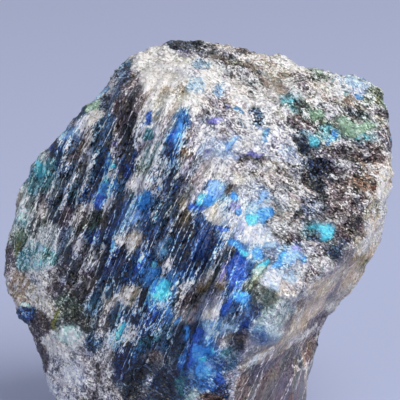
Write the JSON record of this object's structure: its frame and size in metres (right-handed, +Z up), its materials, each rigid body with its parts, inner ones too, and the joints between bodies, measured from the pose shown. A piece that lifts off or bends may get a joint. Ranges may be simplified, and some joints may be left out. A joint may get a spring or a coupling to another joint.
{
  "type": "rough labradorite chunk",
  "caption": "Rough broken chunk of labradorite feldspar standing on a flat break, with a ribbed dark left face, a pale crushed top and blue flashes.",
  "frame": {"origin": "middle of the stone's width and depth, on the level of the flat break it stands on", "axes": "+Z up, front towards -Y, +X to the right as the front is seen"},
  "size_m": [0.072, 0.0506, 0.0739],
  "materials": {
    "labradorite": "rough broken feldspar, glassy on its cleavage, with cream crushed skin and blue to green flashes"
  },
  "bodies": {
    "root": {"labradorite_chunk": "labradorite"}
  },
  "joints": []
}
